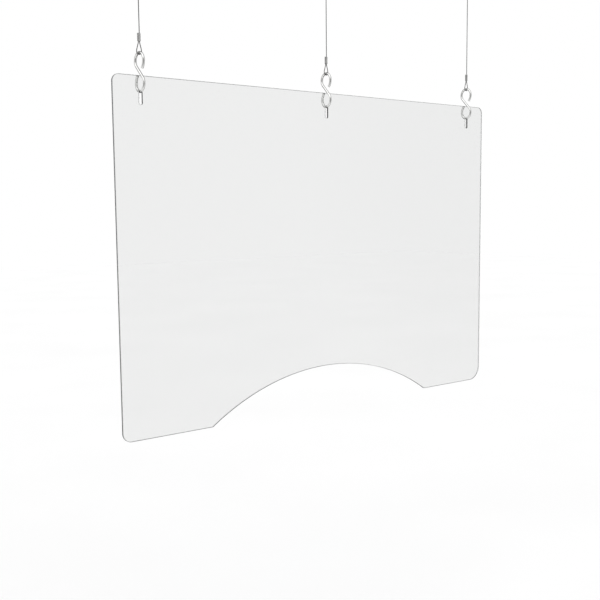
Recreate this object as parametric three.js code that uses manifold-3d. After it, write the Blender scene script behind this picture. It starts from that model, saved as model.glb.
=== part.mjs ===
// Hanging sneeze guard: a clear acrylic panel with an arched pass-through, hung by three S-hooks
// on three short steel cables from three ceiling eye plates. Millimetres, +Z up.
// X runs along the panel, the side facing the customer looks towards -Y, and the origin is the
// centre of the middle ceiling plate's top face. The panel hangs in the plane y = 0.

import * as THREE from 'three';
import * as BufferGeometryUtils from 'three/addons/utils/BufferGeometryUtils.js';
import Module from 'manifold-3d';

const INCH = 25.4;
const GAP = 0.3;                         // left between pieces that touch

// Clear panel
const PANEL_WIDTH = 36 * INCH;
const PANEL_HEIGHT = 24.75 * INCH;
const PANEL_THICKNESS = 4;
const TOP_CORNER_RADIUS = 13;
const LEFT_CORNER_RADIUS = 17;           // bottom left
const RIGHT_CORNER_RADIUS = 30;          // bottom right
const ARCH_HALF_WIDTH = 275.6;
const ARCH_HEIGHT = 84.7;
const SLOT_INSET = 52;                   // from a side edge to the outer slots' centre lines
const SLOT_WIDTH = 6.4;
const SLOT_TOP = 24.15;                  // below the panel's top edge
const SLOT_BOTTOM = 49;
const CURVE_STEPS = 20;

// S-hooks, bent from round wire
const HOOK_WIRE = 4.4;
const HOOK_BEND = 13.4;                  // radius of both bends, to the wire's centre line
const HOOK_CENTRES = 38.1;               // between the centres of the two bends
const HOOK_END_RADIUS = 20;              // the ends curl in on a wider arc
const HOOK_END_ANGLE = 42;
const HOOK_SEAT = 0.5;                   // between the top of the slot and the wire's lowest inner point
const WIRE_SIDES = 8;
const HOOK_STEPS = 52;
const LOWER_HOOK_TURNS = [4, 0, 0];      // degrees about the vertical, left to right

// Steel cables with an eye at each end
const CABLE_DIAMETER = 1.6;
const CABLE_SPAN = 246.85;               // between the centres of the hook wires it hangs on
const CABLE_STEPS_PER_POINT = 2;
const CABLE_EYE_RADIUS = 4.5;
// The eye's two legs, [x, distance from the hook wire's centre]: the cut end's side, from inside
// the ferrule down to the bend, then the standing side, from the bend back through the ferrule.
const CUT_LEG = [
  [-0.8, 31.4], [-0.8, 25.5], [-0.8, 19.5], [-1.4, 15], [-3.1, 9], [-4.35, 4.2],
];
const STANDING_LEG = [[4.3, 4.2], [3.3, 9], [1.8, 14.5], [1.2, 19.5], [1.2, 25.5], [1.2, 34]];
const STANDING_OFFSET = 1.2;             // x of the standing strand, from the ferrule upwards

// Crimped ferrules
const STRAND_OFFSET = 2.0;               // between the two strands inside a ferrule
const FERRULE_START = 18.45;             // from the hook wire's centre
const FERRULE_LENGTH = 13.5;
const FERRULE_WALL = 0.9;

// Ceiling eye plates: a flat plate and a bent eye whose legs are let into it
const PLATE_LENGTH = 50;
const PLATE_WIDTH = 20;
const PLATE_THICKNESS = 4;
const SCREW_REACH = 16.5;                // from the plate's centre to each screw hole
const SCREW_HOLE = 4.4;
const SCREW_HEAD = 8.2;
const EYE_WIRE = 4.8;
const EYE_BEND = 8.4;                    // radius of the eye's bend, to the wire's centre line
const EYE_DEPTH = 23.1;                  // from the ceiling to the centre of the bar under the hook
const EYE_STEPS = 22;

// Heights, from the ceiling down
const UPPER_HOOK_TOP = -EYE_DEPTH + EYE_WIRE / 2 + GAP + HOOK_WIRE / 2;
const HOOK_HEIGHT = HOOK_CENTRES + 2 * HOOK_BEND;
const UPPER_HOOK_BOTTOM = UPPER_HOOK_TOP - HOOK_HEIGHT;
const LOWER_HOOK_TOP = UPPER_HOOK_BOTTOM - CABLE_SPAN;
const LOWER_HOOK_BOTTOM = LOWER_HOOK_TOP - HOOK_HEIGHT;
const PANEL_TOP = LOWER_HOOK_BOTTOM + HOOK_WIRE / 2 + HOOK_SEAT + SLOT_TOP;
const HANGER_REACH = PANEL_WIDTH / 2 - SLOT_INSET;
const SIDES = ['left', 'middle', 'right'];

const wasm = await Module();
wasm.setup();

// Materials

const acrylic = { color: 0xe9efee, roughness: 0.05, metalness: 0, transparent: true, opacity: 0.35 };
const platedSteel = { color: 0xcfd0cd, roughness: 0.22, metalness: 1 };
const cableSteel = { color: 0x626361, roughness: 0.42, metalness: 1 };
const ferruleMetal = { color: 0x9c9d9a, roughness: 0.5, metalness: 0.9 };
const brushedPlate = { color: 0xc2c3c0, roughness: 0.35, metalness: 1 };

// Helpers

function named(name, geometry, look) {
  const mesh = new THREE.Mesh(geometry, new THREE.MeshStandardMaterial(look));
  mesh.name = name;
  return mesh;
}

function mergedPositions(geometry) {
  const plain = geometry.clone();
  plain.deleteAttribute('normal');
  plain.deleteAttribute('uv');
  return BufferGeometryUtils.mergeVertices(plain, 1e-4);
}

function solidOf(geometry) {
  const merged = mergedPositions(geometry);
  return new wasm.Manifold(new wasm.Mesh({
    numProp: 3,
    vertProperties: new Float32Array(merged.attributes.position.array),
    triVerts: new Uint32Array(merged.index.array),
  }));
}

function geometryOf(solid) {
  const { vertProperties, triVerts } = solid.getMesh();
  const geometry = new THREE.BufferGeometry();
  geometry.setAttribute('position', new THREE.BufferAttribute(vertProperties, 3));
  geometry.setIndex(new THREE.BufferAttribute(triVerts, 1));
  return geometry;
}

function roundSection(diameter, sides) {
  const points = [];
  for (let i = 0; i < sides; i += 1) {
    const angle = (2 * Math.PI * i) / sides;
    points.push(new THREE.Vector2(Math.cos(angle), Math.sin(angle)).multiplyScalar(diameter / 2));
  }
  return new THREE.Shape(points);
}

function tube(path, diameter, sides, steps) {
  return new THREE.ExtrudeGeometry(roundSection(diameter, sides), { steps, extrudePath: path });
}

// An outline with two straight sides and half-round ends, longer along x, centred on the origin
function stadium(path, length, width) {
  const reach = (length - width) / 2;
  path.absarc(reach, 0, width / 2, -Math.PI / 2, Math.PI / 2, false);
  path.absarc(-reach, 0, width / 2, Math.PI / 2, 1.5 * Math.PI, false);
  path.closePath();
  return path;
}

// Clear panel: drawn in x and z, with z down from its top edge, then stood up

function panelOutline() {
  const half = PANEL_WIDTH / 2;
  const archRadius = (ARCH_HALF_WIDTH ** 2 + ARCH_HEIGHT ** 2) / (2 * ARCH_HEIGHT);
  const archCentre = -PANEL_HEIGHT + ARCH_HEIGHT - archRadius;
  const archAngle = Math.asin(ARCH_HALF_WIDTH / archRadius);
  const top = TOP_CORNER_RADIUS;
  const left = LEFT_CORNER_RADIUS;
  const right = RIGHT_CORNER_RADIUS;
  const outline = new THREE.Shape();
  outline.absarc(half - top, -top, top, 0, Math.PI / 2, false);
  outline.absarc(-half + top, -top, top, Math.PI / 2, Math.PI, false);
  outline.absarc(-half + left, -PANEL_HEIGHT + left, left, Math.PI, 1.5 * Math.PI, false);
  outline.absarc(0, archCentre, archRadius, Math.PI / 2 + archAngle, Math.PI / 2 - archAngle, true);
  outline.absarc(half - right, -PANEL_HEIGHT + right, right, 1.5 * Math.PI, 2 * Math.PI, false);
  outline.closePath();
  return outline;
}

function slotHole(x) {
  const radius = SLOT_WIDTH / 2;
  const hole = new THREE.Path();
  hole.absarc(x, -SLOT_TOP - radius, radius, 0, Math.PI, false);
  hole.absarc(x, -SLOT_BOTTOM + radius, radius, Math.PI, 2 * Math.PI, false);
  hole.closePath();
  return hole;
}

function panel() {
  const outline = panelOutline();
  for (const x of [-HANGER_REACH, 0, HANGER_REACH]) outline.holes.push(slotHole(x));
  const geometry = new THREE.ExtrudeGeometry(outline, {
    depth: PANEL_THICKNESS, bevelEnabled: false, curveSegments: CURVE_STEPS,
  });
  geometry.rotateX(Math.PI / 2);
  geometry.translate(0, PANEL_THICKNESS / 2, 0);
  const mesh = named('clear_panel', geometry, acrylic);
  mesh.position.z = PANEL_TOP;
  return mesh;
}

// Wire bent in the plane y = 0: it leaves its start at a heading and follows runs of
// [length, turn], straight where the turn is 0 and an arc where it is not.
class BentWire extends THREE.Curve {
  constructor(start, heading, runs) {
    super();
    this.start = start;
    this.heading = heading;
    this.runs = runs;
    this.total = runs.reduce((sum, [length]) => sum + length, 0);
  }

  getPoint(t, target = new THREE.Vector3()) {
    let [x, z] = this.start;
    let heading = this.heading;
    let left = t * this.total;
    for (const [length, turn] of this.runs) {
      const part = Math.min(left, length);
      const next = heading + (turn * part) / length;
      if (turn === 0) {
        x += part * Math.cos(heading);
        z += part * Math.sin(heading);
      } else {
        const radius = length / turn;
        x += radius * (Math.sin(next) - Math.sin(heading));
        z += radius * (Math.cos(heading) - Math.cos(next));
      }
      heading = next;
      left -= part;
    }
    return target.set(x, 0, z);
  }
}

// S-hook in the plane x = 0, centred on its middle: the upper loop opens towards -Y and the lower
// loop, its half-turn, opens towards +Y.
function hook(name, x, top, turn) {
  const lean = Math.asin((2 * HOOK_BEND) / HOOK_CENTRES);
  const straight = 2 * Math.sqrt((HOOK_CENTRES / 2) ** 2 - HOOK_BEND ** 2);
  const curl = THREE.MathUtils.degToRad(HOOK_END_ANGLE);
  const curlLength = HOOK_END_RADIUS * curl;
  const bend = Math.PI + lean;
  const bendLength = HOOK_BEND * bend;
  const start = [
    -HOOK_BEND + HOOK_END_RADIUS * (1 - Math.cos(curl)),
    HOOK_CENTRES / 2 - HOOK_END_RADIUS * Math.sin(curl),
  ];
  const line = new BentWire(start, Math.PI / 2 + curl, [
    [curlLength, -curl], [bendLength, -bend], [straight, 0], [bendLength, bend], [curlLength, curl],
  ]);
  const geometry = tube(line, HOOK_WIRE, WIRE_SIDES, HOOK_STEPS);
  geometry.rotateZ(Math.PI / 2 + THREE.MathUtils.degToRad(turn));
  const mesh = named(name, geometry, platedSteel);
  mesh.position.set(x, 0, top - HOOK_HEIGHT / 2);
  return mesh;
}

// Cable: its sections follow the route's own points, so they are close together in the eyes

class RouteLine extends THREE.CatmullRomCurve3 {
  getPointAt(u, target) {
    return this.getPoint(u, target);
  }

  getTangentAt(u, target) {
    return this.getTangent(u, target);
  }
}

// One eye's route, from the cut end round the hook's wire and up the standing side
function eyeRoute() {
  const bendPoints = 6;
  const rise = CABLE_EYE_RADIUS - HOOK_WIRE / 2 - GAP - CABLE_DIAMETER / 2;
  const route = [...CUT_LEG];
  for (let i = 0; i <= bendPoints; i += 1) {
    const angle = Math.PI + (Math.PI * i) / bendPoints;
    route.push([CABLE_EYE_RADIUS * Math.cos(angle), rise + CABLE_EYE_RADIUS * Math.sin(angle)]);
  }
  route.push(...STANDING_LEG);
  return route;
}

function cable(name, x) {
  const lower = eyeRoute().map(([across, up]) => new THREE.Vector3(across, 0, up));
  const upper = eyeRoute().map(([across, up]) => new THREE.Vector3(across, 0, CABLE_SPAN - up));
  const route = [...lower, ...upper.reverse()];
  const steps = CABLE_STEPS_PER_POINT * (route.length - 1);
  const geometry = tube(new RouteLine(route), CABLE_DIAMETER, WIRE_SIDES, steps);
  const mesh = named(name, geometry, cableSteel);
  mesh.position.set(x, 0, LOWER_HOOK_TOP);
  return mesh;
}

function ferrule(name, x, bottom) {
  const boreWidth = CABLE_DIAMETER + 2 * GAP;
  const boreLength = STRAND_OFFSET + boreWidth;
  const length = boreLength + 2 * FERRULE_WALL;
  const width = boreWidth + 2 * FERRULE_WALL;
  const outline = stadium(new THREE.Shape(), length, width);
  outline.holes.push(stadium(new THREE.Path(), boreLength, boreWidth));
  const geometry = new THREE.ExtrudeGeometry(outline, {
    depth: FERRULE_LENGTH, bevelEnabled: false, curveSegments: 8,
  });
  const mesh = named(name, geometry, ferruleMetal);
  mesh.position.set(x + STANDING_OFFSET - STRAND_OFFSET / 2, 0, bottom);
  return mesh;
}

// Ceiling eye plate

function plateBlank() {
  const outline = stadium(new THREE.Shape(), PLATE_LENGTH, PLATE_WIDTH);
  for (const x of [-EYE_BEND, EYE_BEND]) {
    const hole = new THREE.Path();
    hole.absarc(x, 0, EYE_WIRE / 2 + GAP, 0, 2 * Math.PI, false);
    outline.holes.push(hole);
  }
  const geometry = new THREE.ExtrudeGeometry(outline, {
    depth: PLATE_THICKNESS, bevelEnabled: false, curveSegments: 12,
  });
  geometry.translate(0, 0, -PLATE_THICKNESS);
  return geometry;
}

// A countersunk hole's cutter, opening downwards, where the screw's head sits
function screwCutter() {
  const past = 1;
  const headDepth = (SCREW_HEAD - SCREW_HOLE) / 2;
  const profile = [
    [0, -PLATE_THICKNESS - past], [SCREW_HEAD / 2, -PLATE_THICKNESS - past],
    [SCREW_HEAD / 2, -PLATE_THICKNESS], [SCREW_HOLE / 2, -PLATE_THICKNESS + headDepth],
    [SCREW_HOLE / 2, past], [0, past],
  ];
  const cutter = new THREE.LatheGeometry(profile.map(([r, y]) => new THREE.Vector2(r, y)), 16);
  cutter.rotateX(Math.PI / 2);
  return cutter;
}

function ceilingPlate(name, x) {
  let plate = solidOf(plateBlank());
  for (const side of [-1, 1]) {
    const cutter = screwCutter().translate(side * SCREW_REACH, 0, 0);
    plate = plate.subtract(solidOf(cutter));
  }
  const mesh = named(name, geometryOf(plate), brushedPlate);
  mesh.position.x = x;
  return mesh;
}

function ceilingEye(name, x) {
  const leg = EYE_DEPTH - EYE_BEND - GAP;
  const line = new BentWire([-EYE_BEND, -GAP], -Math.PI / 2, [
    [leg, 0], [Math.PI * EYE_BEND, Math.PI], [leg, 0],
  ]);
  const mesh = named(name, tube(line, EYE_WIRE, WIRE_SIDES, EYE_STEPS), platedSteel);
  mesh.position.x = x;
  return mesh;
}

// Assembly

const guard = new THREE.Group();
guard.add(panel());

SIDES.forEach((side, i) => {
  const x = (i - 1) * HANGER_REACH;
  const upperFerruleBottom = UPPER_HOOK_BOTTOM - FERRULE_START - FERRULE_LENGTH;
  guard.add(ceilingPlate(`ceiling_plate_${side}`, x));
  guard.add(ceilingEye(`ceiling_eye_${side}`, x));
  guard.add(hook(`upper_hook_${side}`, x, UPPER_HOOK_TOP, 0));
  guard.add(ferrule(`upper_ferrule_${side}`, x, upperFerruleBottom));
  guard.add(cable(`cable_${side}`, x));
  guard.add(ferrule(`lower_ferrule_${side}`, x, LOWER_HOOK_TOP + FERRULE_START));
  guard.add(hook(`lower_hook_${side}`, x, LOWER_HOOK_TOP, LOWER_HOOK_TURNS[i]));
});

export default guard;
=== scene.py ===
# Looks of the hanging sneeze guard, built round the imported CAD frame. Metres, +Z up, origin at
# the middle ceiling plate's upper face. The panel hangs in the plane y = 0 and faces -Y.

import math

import bmesh
import bpy
from mathutils import Matrix, Vector, noise


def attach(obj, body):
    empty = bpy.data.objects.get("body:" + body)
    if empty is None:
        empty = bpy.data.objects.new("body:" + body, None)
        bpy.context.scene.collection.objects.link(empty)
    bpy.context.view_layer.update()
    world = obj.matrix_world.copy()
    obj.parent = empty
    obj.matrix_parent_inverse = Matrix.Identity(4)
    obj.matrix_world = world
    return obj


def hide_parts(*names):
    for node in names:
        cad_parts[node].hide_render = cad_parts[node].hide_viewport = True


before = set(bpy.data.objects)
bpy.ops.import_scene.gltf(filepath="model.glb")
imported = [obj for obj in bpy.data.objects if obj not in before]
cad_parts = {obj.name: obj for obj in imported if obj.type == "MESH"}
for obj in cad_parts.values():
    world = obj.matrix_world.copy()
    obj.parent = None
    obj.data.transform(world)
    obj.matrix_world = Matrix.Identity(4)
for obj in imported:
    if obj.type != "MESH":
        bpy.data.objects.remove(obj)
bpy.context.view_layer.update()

MM = 0.001
SIDES = ["left", "middle", "right"]

# Sizes in millimetres, the same as the CAD model's
INCH = 25.4
GAP = 0.3                          # left between pieces that touch
PANEL_WIDTH = 36 * INCH
PANEL_HEIGHT = 24.75 * INCH
PANEL_THICKNESS = 4.0
TOP_CORNER_RADIUS = 13.0
LEFT_CORNER_RADIUS = 17.0          # bottom left
RIGHT_CORNER_RADIUS = 30.0         # bottom right
ARCH_HALF_WIDTH = 275.6
ARCH_HEIGHT = 84.7
SLOT_INSET = 52.0
SLOT_WIDTH = 6.4
SLOT_TOP = 24.15                   # below the panel's top edge
SLOT_BOTTOM = 49.0
HANGER_REACH = PANEL_WIDTH / 2 - SLOT_INSET
HOOK_WIRE = 4.4
HOOK_BEND = 13.4
HOOK_CENTRES = 38.1
HOOK_END_RADIUS = 20.0
HOOK_END_ANGLE = math.radians(42)
HOOK_SEAT = 0.5                    # between the top of the slot and the wire in it
LOWER_HOOK_TURNS = [4, 0, 0]       # degrees about the vertical
CABLE_DIAMETER = 1.6
CABLE_SPAN = 246.85
CABLE_EYE_RADIUS = 4.5
# The cable eye's two legs, (x, distance from the hook wire's centre)
CUT_LEG = [(-0.8, 31.4), (-0.8, 25.5), (-0.8, 19.5), (-1.4, 15), (-3.1, 9), (-4.35, 4.2)]
STANDING_LEG = [(4.3, 4.2), (3.3, 9), (1.8, 14.5), (1.2, 19.5), (1.2, 25.5), (1.2, 34)]
STANDING_OFFSET = 1.2              # x of the standing strand, from the ferrule upwards
STRAND_OFFSET = 2.0                # between the two strands inside a ferrule
FERRULE_START = 18.45
FERRULE_LENGTH = 13.5
FERRULE_WALL = 0.9
PLATE_LENGTH = 50.0
PLATE_WIDTH = 20.0
PLATE_THICKNESS = 4.0
SCREW_REACH = 16.5
SCREW_HOLE = 4.4
SCREW_HEAD = 8.2
EYE_WIRE = 4.8
EYE_BEND = 8.4
EYE_DEPTH = 23.1
UPPER_HOOK_TOP = -EYE_DEPTH + EYE_WIRE / 2 + GAP + HOOK_WIRE / 2
HOOK_HEIGHT = HOOK_CENTRES + 2 * HOOK_BEND
UPPER_HOOK_BOTTOM = UPPER_HOOK_TOP - HOOK_HEIGHT
LOWER_HOOK_TOP = UPPER_HOOK_BOTTOM - CABLE_SPAN
PANEL_TOP = LOWER_HOOK_TOP - HOOK_HEIGHT + HOOK_WIRE / 2 + HOOK_SEAT + SLOT_TOP


# Camera, in front of the panel's left half and looking across it

def make_camera():
    yaw, pitch, roll = math.radians(37.134), math.radians(-5.957), math.radians(-0.534)
    place = (-1.0922, -1.3505, -0.597)
    forward = Vector((
        math.sin(yaw) * math.cos(pitch), math.cos(yaw) * math.cos(pitch), math.sin(pitch)))
    right = Vector((math.cos(yaw), -math.sin(yaw), 0))
    up = right.cross(forward)
    turned_right = right * math.cos(roll) + up * math.sin(roll)
    turned_up = up * math.cos(roll) - right * math.sin(roll)
    data = bpy.data.cameras.new("camera")
    data.sensor_width = 36
    data.lens = 51.75
    data.clip_start = 0.05
    data.clip_end = 60
    camera = bpy.data.objects.new("camera", data)
    bpy.context.scene.collection.objects.link(camera)
    axes = Matrix((turned_right, turned_up, -forward)).transposed().to_4x4()
    camera.matrix_world = Matrix.Translation(place) @ axes
    bpy.context.scene.camera = camera


make_camera()


# Material helpers

def material(name):
    made = bpy.data.materials.new(name)
    made.use_nodes = True
    nodes = made.node_tree.nodes
    return made, nodes, made.node_tree.links, nodes["Principled BSDF"]


def noise_node(nodes, links, scale, detail=2.0, stretch=None):
    texture = nodes.new("ShaderNodeTexNoise")
    texture.inputs["Scale"].default_value = scale
    texture.inputs["Detail"].default_value = detail
    place = nodes.new("ShaderNodeTexCoord")
    mapping = nodes.new("ShaderNodeMapping")
    mapping.inputs["Scale"].default_value = stretch or (1, 1, 1)
    links.new(place.outputs["Object"], mapping.inputs["Vector"])
    links.new(mapping.outputs["Vector"], texture.inputs["Vector"])
    return texture


def ranged(nodes, links, source, low, high, start=0.3, stop=0.7):
    made = nodes.new("ShaderNodeMapRange")
    made.inputs["From Min"].default_value = start
    made.inputs["From Max"].default_value = stop
    made.inputs["To Min"].default_value = low
    made.inputs["To Max"].default_value = high
    links.new(source, made.inputs["Value"])
    return made.outputs["Result"]


def mixed(nodes, links, factor, first, second):
    made = nodes.new("ShaderNodeMix")
    made.data_type = "RGBA"
    made.inputs["A"].default_value = (*first, 1)
    made.inputs["B"].default_value = (*second, 1)
    links.new(factor, made.inputs["Factor"])
    return made.outputs["Result"]


def bumped(nodes, links, bsdf, source, strength, distance):
    made = nodes.new("ShaderNodeBump")
    made.inputs["Strength"].default_value = strength
    made.inputs["Distance"].default_value = distance
    links.new(source, made.inputs["Height"])
    links.new(made.outputs["Normal"], bsdf.inputs["Normal"])


def metal(name, dark, light, rough_low, rough_high, grain, bump):
    """Bare metal, clouded between two tones, with a fine grain in its roughness and bump."""
    made, nodes, links, bsdf = material(name)
    bsdf.inputs["Metallic"].default_value = 1.0
    cloud = noise_node(nodes, links, 90, 3)
    fine = noise_node(nodes, links, grain, 2)
    tone = ranged(nodes, links, cloud.outputs["Fac"], 0, 1)
    links.new(mixed(nodes, links, tone, dark, light), bsdf.inputs["Base Color"])
    rough = ranged(nodes, links, fine.outputs["Fac"], rough_low, rough_high)
    links.new(rough, bsdf.inputs["Roughness"])
    bumped(nodes, links, bsdf, fine.outputs["Fac"], bump, 0.00005)
    return made


def clear(name, colour, transmission, rough_low, rough_high, bump, scale, stretch=None):
    """Acrylic with faint smears in its gloss."""
    made, nodes, links, bsdf = material(name)
    bsdf.inputs["Base Color"].default_value = (*colour, 1)
    bsdf.inputs["Transmission Weight"].default_value = transmission
    bsdf.inputs["IOR"].default_value = 1.49
    smear = noise_node(nodes, links, scale, 3, stretch)
    rough = ranged(nodes, links, smear.outputs["Fac"], rough_low, rough_high)
    links.new(rough, bsdf.inputs["Roughness"])
    bumped(nodes, links, bsdf, smear.outputs["Fac"], bump, 0.0002)
    return made


ACRYLIC = clear("clear_acrylic", (0.85, 0.853, 0.851), 1.0, 0.0, 0.02, 0.01, 4)
# The edge material's dark grey colour and partial transmission are painted shade. Polished acrylic
# edges are clear, and the grey stands in for how dark they look.
ACRYLIC_EDGE_PAINTED_SHADE = clear("acrylic_edge_painted_shade", (0.30, 0.305, 0.305), 0.65, 0.05, 0.14, 0.15, 90, (1, 8, 1))
PLATED = metal("plated_steel", (0.70, 0.70, 0.69), (0.82, 0.82, 0.81), 0.07, 0.15, 900, 0.12)
CABLE_STEEL = metal("cable_steel", (0.13, 0.13, 0.13), (0.27, 0.27, 0.265), 0.25, 0.4, 2500, 0.3)
FERRULE_METAL = metal("ferrule_metal", (0.34, 0.34, 0.34), (0.50, 0.50, 0.49), 0.32, 0.5, 1400, 0.4)
PLATE_STEEL = metal("plate_steel", (0.60, 0.60, 0.59), (0.72, 0.72, 0.71), 0.22, 0.36, 700, 0.2)
WELD_METAL = metal("weld_metal", (0.30, 0.29, 0.28), (0.52, 0.50, 0.48), 0.35, 0.55, 1200, 0.6)


# Mesh helpers

def finished(name, verts, faces, looks, slots=None, crease=40, flat=0):
    """A mesh object from points in millimetres, its normals outward and its shading smooth, apart
    from the last faces, as many as flat says."""
    mesh = bpy.data.meshes.new(name)
    mesh.from_pydata([tuple(Vector(v) * MM) for v in verts], [], faces)
    for look in looks:
        mesh.materials.append(look)
    if slots:
        mesh.polygons.foreach_set("material_index", slots)
    work = bmesh.new()
    work.from_mesh(mesh)
    bmesh.ops.recalc_face_normals(work, faces=work.faces)
    limit = math.radians(crease)
    for number, face in enumerate(work.faces):
        face.smooth = number < len(faces) - flat
    for edge in work.edges:
        if len(edge.link_faces) == 2 and edge.calc_face_angle(0) > limit:
            edge.smooth = False
    work.to_mesh(mesh)
    work.free()
    made = bpy.data.objects.new(name, mesh)
    bpy.context.scene.collection.objects.link(made)
    return made


def tube_faces(rings, around, closed=False):
    """Quads between rings of points, laid one ring after another."""
    faces = []
    for i in range(rings if closed else rings - 1):
        below = i * around
        above = ((i + 1) % rings) * around
        for j in range(around):
            k = (j + 1) % around
            faces.append((below + j, below + k, above + k, above + j))
    return faces


def swept(name, centres, across, scales, sections, looks):
    """A tube with flat ends, a scale and a section to each centre. across is the normal of the
    plane that the line lies in."""
    verts = []
    count = len(centres)
    for i, centre in enumerate(centres):
        ahead = centres[min(i + 1, count - 1)] - centres[max(i - 1, 0)]
        side = across.cross(ahead.normalized()).normalized()
        for u, v in sections[i]:
            verts.append(centre + side * (u * scales[i]) + across * (v * scales[i]))
    around = len(sections[0])
    faces = tube_faces(count, around)
    faces.append(tuple(range(around)))
    faces.append(tuple(range((count - 1) * around, count * around)))
    return finished(name, verts, faces, looks, flat=2)


def circle(radius, sides):
    return [
        (radius * math.cos(2 * math.pi * i / sides), radius * math.sin(2 * math.pi * i / sides))
        for i in range(sides)
    ]


def bent_wire(start, heading, runs, count):
    """Points along straight runs and arcs of (length, turn), in a plane, evenly spaced."""
    total = sum(length for length, turn in runs)
    points = []
    for i in range(count + 1):
        left = total * i / count
        x, z = start
        angle = heading
        for length, turn in runs:
            part = min(left, length)
            after = angle + turn * part / length
            if turn:
                radius = length / turn
                x += radius * (math.sin(after) - math.sin(angle))
                z += radius * (math.cos(angle) - math.cos(after))
            else:
                x += part * math.cos(angle)
                z += part * math.sin(angle)
            angle = after
            left -= part
        points.append((x, z))
    return points


def round_ended(centres, wire, edge, steps=5):
    """(centre, scale) for each ring of a cut wire whose end rims are rounded over by edge."""
    first, second, last, before = centres[0], centres[1], centres[-1], centres[-2]
    out = (first - second).normalized()
    far = (last - before).normalized()
    start, stop = [], []
    for i in range(steps + 1):
        angle = math.pi / 2 * i / steps
        inward = edge * (1 - math.sin(angle))
        scale = (wire / 2 - edge + edge * math.sin(angle)) / (wire / 2)
        start.append((first - out * inward, scale))
        stop.append((last - far * inward, scale))
    clear_of_rim = edge * 1.2
    body = [(c, 1.0) for c in centres
            if (c - first).length > clear_of_rim and (c - last).length > clear_of_rim]
    return start + body + stop[::-1]


def wire_piece(name, centres, across, wire, edge, sides=32):
    line, scales = zip(*round_ended(centres, wire, edge))
    outline = circle(wire / 2, sides)
    return swept(name, line, across, scales, [outline] * len(line), [PLATED])


# Cables first: stranded wire rope whose line is the CAD cable's

def spline(points, spacing):
    """Evenly spaced points on a smooth curve through these ones, and the curve's length."""
    dense = []
    run = [points[0] * 2 - points[1], *points, points[-1] * 2 - points[-2]]
    for i in range(1, len(run) - 2):
        p0, p1, p2, p3 = run[i - 1:i + 3]
        d1 = max((p1 - p0).length ** 0.5, 1e-6)
        d2 = max((p2 - p1).length ** 0.5, 1e-6)
        d3 = max((p3 - p2).length ** 0.5, 1e-6)
        m1 = ((p1 - p0) / d1 - (p2 - p0) / (d1 + d2) + (p2 - p1) / d2) * d2
        m2 = ((p2 - p1) / d2 - (p3 - p1) / (d2 + d3) + (p3 - p2) / d3) * d2
        steps = max(4, int((p2 - p1).length / spacing * 2))
        for j in range(steps):
            t = j / steps
            dense.append(
                p1 * (2 * t ** 3 - 3 * t ** 2 + 1) + m1 * (t ** 3 - 2 * t ** 2 + t)
                + p2 * (3 * t ** 2 - 2 * t ** 3) + m2 * (t ** 3 - t ** 2))
    dense.append(points[-1])
    total = sum((b - a).length for a, b in zip(dense, dense[1:]))
    count = round(total / spacing)
    even, at, index = [dense[0]], 0.0, 0
    for i in range(1, count):
        wanted = total * i / count
        while at + (dense[index + 1] - dense[index]).length < wanted:
            at += (dense[index + 1] - dense[index]).length
            index += 1
        step = dense[index + 1] - dense[index]
        even.append(dense[index] + step * ((wanted - at) / step.length))
    even.append(dense[-1])
    return even, total


def eye_route():
    rise = CABLE_EYE_RADIUS - HOOK_WIRE / 2 - GAP - CABLE_DIAMETER / 2
    bend = [
        (CABLE_EYE_RADIUS * math.cos(angle), rise + CABLE_EYE_RADIUS * math.sin(angle))
        for angle in (math.pi + math.pi * i / 6 for i in range(7))
    ]
    return [*CUT_LEG, *bend, *STANDING_LEG]


def strand_section(turn):
    """The outline of six round strands about a core, seen end on, turned by an angle."""
    strand = CABLE_DIAMETER / 6
    lobe_start, lobe_step = -120, 48
    points = []
    for lobe in range(6):
        out = turn + lobe * math.pi / 3
        for k in range(5):
            angle = out + math.radians(lobe_start + lobe_step * k)
            points.append((2 * strand * math.cos(out) + strand * math.cos(angle),
                           2 * strand * math.sin(out) + strand * math.sin(angle)))
    return points


def make_cable(side, x):
    spacing = 0.7
    lay = 11.0  # the length in which a strand goes once round
    lower = [Vector((x + a, 0, LOWER_HOOK_TOP + b)) for a, b in eye_route()]
    upper = [Vector((x + a, 0, LOWER_HOOK_TOP + CABLE_SPAN - b)) for a, b in eye_route()]
    line, total = spline([*lower, *upper[::-1]], spacing)
    sections = [strand_section(2 * math.pi * spacing * i / lay) for i in range(len(line))]
    cable = swept(f"wire_rope_{side}", line, Vector((0, 1, 0)), [1] * len(line), sections,
                  [CABLE_STEEL])
    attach(cable, f"cable_{side}")
    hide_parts(f"cable_{side}")
    return cable, line, total


def stadium(length, width, height, steps=14):
    reach = (length - width) / 2
    points = []
    for sign in (1, -1):
        for i in range(steps + 1):
            angle = -math.pi / 2 + math.pi * i / steps
            points.append(Vector((sign * (reach + width / 2 * math.cos(angle)),
                                  sign * width / 2 * math.sin(angle), height)))
    return points


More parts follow.
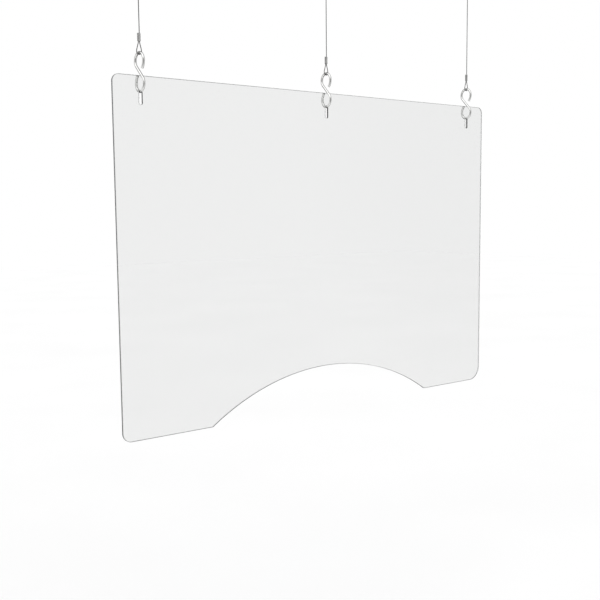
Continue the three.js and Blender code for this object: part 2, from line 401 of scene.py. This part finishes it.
def make_ferrule(name, node, body, x, bottom):
    """An oval sleeve squeezed on the two strands by three presses, with rolled rims."""
    bore_width = CABLE_DIAMETER + 2 * GAP
    bore_length = STRAND_OFFSET + bore_width
    press_places, press_reach = (0.22, 0.5, 0.78), 1.15
    press_depth, press_spread = 0.75, 0.2
    rim_reach, rim_depth = 0.6, 0.35
    rings = []
    count = 54
    for i in range(count + 1):
        z = FERRULE_LENGTH * i / count
        press = sum(math.exp(-((z - FERRULE_LENGTH * place) / press_reach) ** 4)
                    for place in press_places)
        inward = 1 - min(z, FERRULE_LENGTH - z, rim_reach) / rim_reach
        roll = rim_depth * (1 - math.sqrt(max(0.0, 1 - inward ** 2)))
        length = bore_length + 2 * FERRULE_WALL - press_spread * (1 - press) - 2 * roll
        width = bore_width + 2 * FERRULE_WALL - press_depth * press - 2 * roll
        rings.append(stadium(length, width, z))
    mouth, throat = 0.4, 0.9
    for z, snug in ((FERRULE_LENGTH, 0.1), (FERRULE_LENGTH - mouth, 0.1),
                    (FERRULE_LENGTH - throat, 0.3), (throat, 0.3), (mouth, 0.1), (0, 0.1)):
        rings.append(stadium(bore_length - snug, bore_width - snug, z))
    shift = Vector((x + STANDING_OFFSET - STRAND_OFFSET / 2, 0, bottom))
    verts = [p + shift for ring in rings for p in ring]
    faces = tube_faces(len(rings), len(rings[0]), closed=True)
    ferrule = finished(name, verts, faces, [FERRULE_METAL])
    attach(ferrule, body)
    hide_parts(node)
    return ferrule


for number, side in enumerate(SIDES):
    x = (number - 1) * HANGER_REACH
    rope, route, length = make_cable(side, x)
    low = LOWER_HOOK_TOP + FERRULE_START
    high = UPPER_HOOK_BOTTOM - FERRULE_START - FERRULE_LENGTH
    sleeves = [
        make_ferrule(f"lower_sleeve_{side}", f"lower_ferrule_{side}", f"cable_{side}", x, low),
        make_ferrule(f"upper_sleeve_{side}", f"upper_ferrule_{side}", f"cable_{side}", x, high),
    ]


# S-hooks

def make_hook(name, node, x, top, turn):
    cut_rim = 0.8
    steps = 200
    lean = math.asin(2 * HOOK_BEND / HOOK_CENTRES)
    straight = 2 * math.sqrt((HOOK_CENTRES / 2) ** 2 - HOOK_BEND ** 2)
    curl = HOOK_END_ANGLE
    bend = math.pi + lean
    start = (-HOOK_BEND + HOOK_END_RADIUS * (1 - math.cos(curl)),
             HOOK_CENTRES / 2 - HOOK_END_RADIUS * math.sin(curl))
    runs = [(HOOK_END_RADIUS * curl, -curl), (HOOK_BEND * bend, -bend), (straight, 0),
            (HOOK_BEND * bend, bend), (HOOK_END_RADIUS * curl, curl)]
    angle = math.radians(turn)
    along = Vector((-math.sin(angle), math.cos(angle), 0))
    across = Vector((math.cos(angle), math.sin(angle), 0))
    middle = Vector((x, 0, top - HOOK_HEIGHT / 2))
    centres = [
        middle + along * y + Vector((0, 0, z))
        for y, z in bent_wire(start, math.pi / 2 + curl, runs, steps)
    ]
    hook = wire_piece(name, centres, across, HOOK_WIRE, cut_rim)
    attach(hook, node)
    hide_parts(node)


for number, side in enumerate(SIDES):
    x = (number - 1) * HANGER_REACH
    make_hook(f"s_hook_upper_{side}", f"upper_hook_{side}", x, UPPER_HOOK_TOP, 0)
    make_hook(f"s_hook_lower_{side}", f"lower_hook_{side}", x, LOWER_HOOK_TOP,
              LOWER_HOOK_TURNS[number])


# Clear panel, its edges polished round

def filled_caps(verts, ends):
    """Triangles between the first rings of all the loops, then between their last rings."""
    caps = []
    for level in (0, 1):
        work = bmesh.new()
        numbered = {}
        for pair in ends:
            ring = [work.verts.new(Vector(verts[i])) for i in pair[level]]
            numbered.update(zip(ring, pair[level]))
            for a, b in zip(ring, ring[1:] + ring[:1]):
                work.edges.new((a, b))
        bmesh.ops.triangle_fill(work, edges=work.edges[:], use_beauty=True)
        caps += [tuple(numbered[v] for v in face.verts) for face in work.faces]
        work.free()
    return caps


def rounded_rim(face, rim):
    """(height, inset) from a plate's face round to its side."""
    steps = 4
    turns = [math.pi / 2 * i / steps for i in range(steps + 1)]
    return [(face + rim * (1 - math.cos(a)), rim * (1 - math.sin(a))) for a in turns]


def pierced_plate(loops):
    """Points, wall faces and cap faces of a plate with holes. Each loop, the outline or a hole, is
    a wall of rings from one side of the plate to the other."""
    verts, walls, ends = [], [], []
    for rings in loops:
        around = len(rings[0])
        first = len(verts)
        last = first + (len(rings) - 1) * around
        verts += [point for ring in rings for point in ring]
        walls += [tuple(first + v for v in face) for face in tube_faces(len(rings), around)]
        ends.append((range(first, first + around), range(last, last + around)))
    return verts, walls, filled_caps(verts, ends)


def arc(cx, cz, radius, start, stop, steps):
    return [
        (cx + radius * math.cos(start + (stop - start) * i / steps),
         cz + radius * math.sin(start + (stop - start) * i / steps))
        for i in range(steps + 1)
    ]


def panel_outline(inset):
    half = PANEL_WIDTH / 2
    top, left, right = TOP_CORNER_RADIUS, LEFT_CORNER_RADIUS, RIGHT_CORNER_RADIUS
    arch = (ARCH_HALF_WIDTH ** 2 + ARCH_HEIGHT ** 2) / (2 * ARCH_HEIGHT)
    centre = -PANEL_HEIGHT + ARCH_HEIGHT - arch
    lean = math.acos((-PANEL_HEIGHT + inset - centre) / (arch + inset))
    quarter = math.pi / 2
    return [
        *arc(half - top, -top, top - inset, 0, quarter, 20),
        *arc(-half + top, -top, top - inset, quarter, math.pi, 20),
        *arc(-half + left, -PANEL_HEIGHT + left, left - inset, math.pi, 3 * quarter, 24),
        *arc(0, centre, arch + inset, quarter + lean, quarter - lean, 150),
        *arc(half - right, -PANEL_HEIGHT + right, right - inset, 3 * quarter, 4 * quarter, 32),
    ]


def slot_outline(x, inset):
    radius = SLOT_WIDTH / 2
    return [
        *arc(x, -SLOT_TOP - radius, radius + inset, 0, math.pi, 20),
        *arc(x, -SLOT_BOTTOM + radius, radius + inset, math.pi, 2 * math.pi, 20),
    ]


def make_panel():
    half = PANEL_THICKNESS / 2
    outer_rim, slot_rim = 0.8, 0.2
    outlines = [(outer_rim, panel_outline)] + [
        (slot_rim, lambda inset, x=x: slot_outline(x, inset))
        for x in (-HANGER_REACH, 0, HANGER_REACH)]
    loops = []
    for rim, outline in outlines:
        levels = rounded_rim(-half, rim)
        levels += [(-y, inset) for y, inset in levels[::-1]]
        loops.append([[(x, y, PANEL_TOP + z) for x, z in outline(inset)] for y, inset in levels])
    verts, walls, caps = pierced_plate(loops)
    # The walls, the outer edge and the slot sides, take the edge material, whose dark grey is
    # painted shade.
    slots = [1] * len(walls) + [0] * len(caps)
    panel = finished("acrylic_panel", verts, walls + caps, [ACRYLIC, ACRYLIC_EDGE_PAINTED_SHADE], slots, 30,
                     len(caps))
    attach(panel, "panel")
    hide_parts("clear_panel")


make_panel()


# Ceiling plates and eyes

def make_plate(side, x):
    rim, upper_rim, hole_rim = 0.6, 0.25, 0.2
    thick = PLATE_THICKNESS
    outer = [*rounded_rim(-thick, rim), (-upper_rim, 0), (0, upper_rim)]
    head = (SCREW_HEAD - SCREW_HOLE) / 2
    sink = [(-thick, SCREW_HEAD / 2 + upper_rim), (-thick + upper_rim, SCREW_HEAD / 2),
            (-thick + head, SCREW_HOLE / 2), (-hole_rim, SCREW_HOLE / 2),
            (0, SCREW_HOLE / 2 + hole_rim)]
    let_in = [(-thick, EYE_WIRE / 2 + GAP), (0, EYE_WIRE / 2 + GAP)]
    holes = [(sign * SCREW_REACH, sink) for sign in (-1, 1)]
    holes += [(sign * EYE_BEND, let_in) for sign in (-1, 1)]
    loops = [[[(p.x + x, p.y, z) for p in
               stadium(PLATE_LENGTH - 2 * inset, PLATE_WIDTH - 2 * inset, z)]
              for z, inset in outer]]
    for centre, profile in holes:
        loops.append([[(centre + u + x, v, z) for u, v in circle(radius, 40)]
                      for z, radius in profile])
    verts, walls, caps = pierced_plate(loops)
    plate = finished(f"eye_plate_{side}", verts, walls + caps, [PLATE_STEEL], None, 30, len(caps))
    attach(plate, "ceiling")
    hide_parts(f"ceiling_plate_{side}")


def make_eye(side, x):
    cut_rim = 0.5
    steps = 120
    leg = EYE_DEPTH - EYE_BEND - GAP
    runs = [(leg, 0), (math.pi * EYE_BEND, math.pi), (leg, 0)]
    centres = [Vector((x + a, 0, z)) for a, z in
               bent_wire((-EYE_BEND, -GAP), -math.pi / 2, runs, steps)]
    eye = wire_piece(f"bent_eye_{side}", centres, Vector((0, 1, 0)), EYE_WIRE, cut_rim)
    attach(eye, "ceiling")
    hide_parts(f"ceiling_eye_{side}")


def make_weld(name, x, seed):
    """A fillet of weld round one leg of an eye, on the plate's underside."""
    around, across = 64, 10
    inner = EYE_WIRE / 2 - 0.1
    reach, depth, crown = 1.5, 1.6, 0.35
    bite = 0.05  # how far it goes into the plate
    verts = []
    for i in range(around):
        angle = 2 * math.pi * i / around
        ripple = 0.10 * math.sin(angle * 14) + 0.22 * noise.noise(
            Vector((math.cos(angle) * 2, math.sin(angle) * 2, seed)))
        for j in range(across):
            t = j / (across - 1)
            radius = inner + (reach + ripple) * t
            height = (depth + ripple) * (1 - t) ** 1.3 + crown * math.sin(math.pi * t)
            verts.append((x + radius * math.cos(angle), radius * math.sin(angle),
                          -PLATE_THICKNESS - height))
        verts.append((x + inner * math.cos(angle), inner * math.sin(angle),
                      -PLATE_THICKNESS + bite))
    faces = []
    ring = across + 1
    for i in range(around):
        k = (i + 1) % around
        for j in range(ring):
            n = (j + 1) % ring
            faces.append((i * ring + j, i * ring + n, k * ring + n, k * ring + j))
    weld = finished(name, verts, faces, [WELD_METAL], None, 60)
    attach(weld, "ceiling")


for number, side in enumerate(SIDES):
    x = (number - 1) * HANGER_REACH
    make_plate(side, x)
    make_eye(side, x)
    make_weld(f"weld_a_{side}", x - EYE_BEND, number)
    make_weld(f"weld_b_{side}", x + EYE_BEND, number + 10)


# Floor, light and surroundings

def make_floor():
    size, height = 14, -1.62
    mesh = bpy.data.meshes.new("floor")
    corners = [(-size, -size), (size, -size), (size, size), (-size, size)]
    mesh.from_pydata([(x, y, height) for x, y in corners], [], [(0, 1, 2, 3)])
    floor = bpy.data.objects.new("floor", mesh)
    bpy.context.scene.collection.objects.link(floor)
    pale, nodes, links, bsdf = material("pale_floor")
    cloud = noise_node(nodes, links, 1.2, 2)
    tone = ranged(nodes, links, cloud.outputs["Fac"], 0, 1)
    links.new(mixed(nodes, links, tone, (0.93, 0.93, 0.93), (0.95, 0.95, 0.95)),
              bsdf.inputs["Base Color"])
    bsdf.inputs["Roughness"].default_value = 0.9
    bsdf.inputs["Specular IOR Level"].default_value = 0.0
    mesh.materials.append(pale)
    floor.visible_glossy = False


def sky_light():
    data = bpy.data.lights.new("overhead", "SUN")
    data.energy = 0.2
    data.angle = math.radians(50)
    light = bpy.data.objects.new("overhead", data)
    light.visible_glossy = False
    bpy.context.scene.collection.objects.link(light)


def glow(nodes, links, direction, start, stop, strength, toward):
    """A soft patch of light, or of dark, in the surroundings, round a direction."""
    dot = nodes.new("ShaderNodeVectorMath")
    dot.operation = "DOT_PRODUCT"
    dot.inputs[1].default_value = Vector(direction).normalized()
    links.new(toward, dot.inputs[0])
    patch = nodes.new("ShaderNodeMapRange")
    patch.interpolation_type = "SMOOTHSTEP"
    patch.inputs["From Min"].default_value = start
    patch.inputs["From Max"].default_value = stop
    patch.inputs["To Min"].default_value = 0
    patch.inputs["To Max"].default_value = strength
    links.new(dot.outputs["Value"], patch.inputs["Value"])
    return patch.outputs["Result"]


def added(nodes, links, first, second):
    made = nodes.new("ShaderNodeMath")
    links.new(first, made.inputs[0])
    links.new(second, made.inputs[1])
    return made.outputs["Value"]


def make_surroundings():
    """Plain white all round. Reflections see patches in it, as a studio's lights and flags are."""
    world = bpy.data.worlds.new("studio")
    bpy.context.scene.world = world
    world.use_nodes = True
    nodes, links = world.node_tree.nodes, world.node_tree.links
    plain = nodes["Background"]
    plain.inputs["Color"].default_value = (1, 1, 1, 1)
    plain.inputs["Strength"].default_value = 1.0
    place = nodes.new("ShaderNodeTexCoord")
    toward = place.outputs["Generated"]
    base = nodes.new("ShaderNodeValue")
    base.outputs[0].default_value = 0.95
    total = base.outputs[0]
    # Each patch: its direction, the cosines where it begins and is full, and its strength
    patches = [
        ((-0.6, -0.79, -0.1), 0.70, 0.95, -0.85),
        ((0.6, 0.79, -0.1), 0.0, 0.6, -0.85),
        ((-0.6, -0.15, 0.78), 0.80, 0.96, 0.7),
        ((0.8, -0.6, 0.05), 0.955, 0.995, -0.3),
    ]
    for direction, start, stop, strength in patches:
        total = added(nodes, links, total,
                      glow(nodes, links, direction, start, stop, strength, toward))
    mirrored = nodes.new("ShaderNodeBackground")
    links.new(total, mirrored.inputs["Color"])
    path = nodes.new("ShaderNodeLightPath")
    reflected = nodes.new("ShaderNodeMath")
    reflected.operation = "SUBTRACT"
    reflected.use_clamp = True
    links.new(path.outputs["Is Glossy Ray"], reflected.inputs[0])
    links.new(path.outputs["Is Transmission Ray"], reflected.inputs[1])
    mix = nodes.new("ShaderNodeMixShader")
    links.new(reflected.outputs["Value"], mix.inputs[0])
    links.new(plain.outputs[0], mix.inputs[1])
    links.new(mirrored.outputs[0], mix.inputs[2])
    links.new(mix.outputs[0], nodes["World Output"].inputs["Surface"])


make_floor()
sky_light()
make_surroundings()
bpy.context.scene.view_settings.view_transform = "Standard"
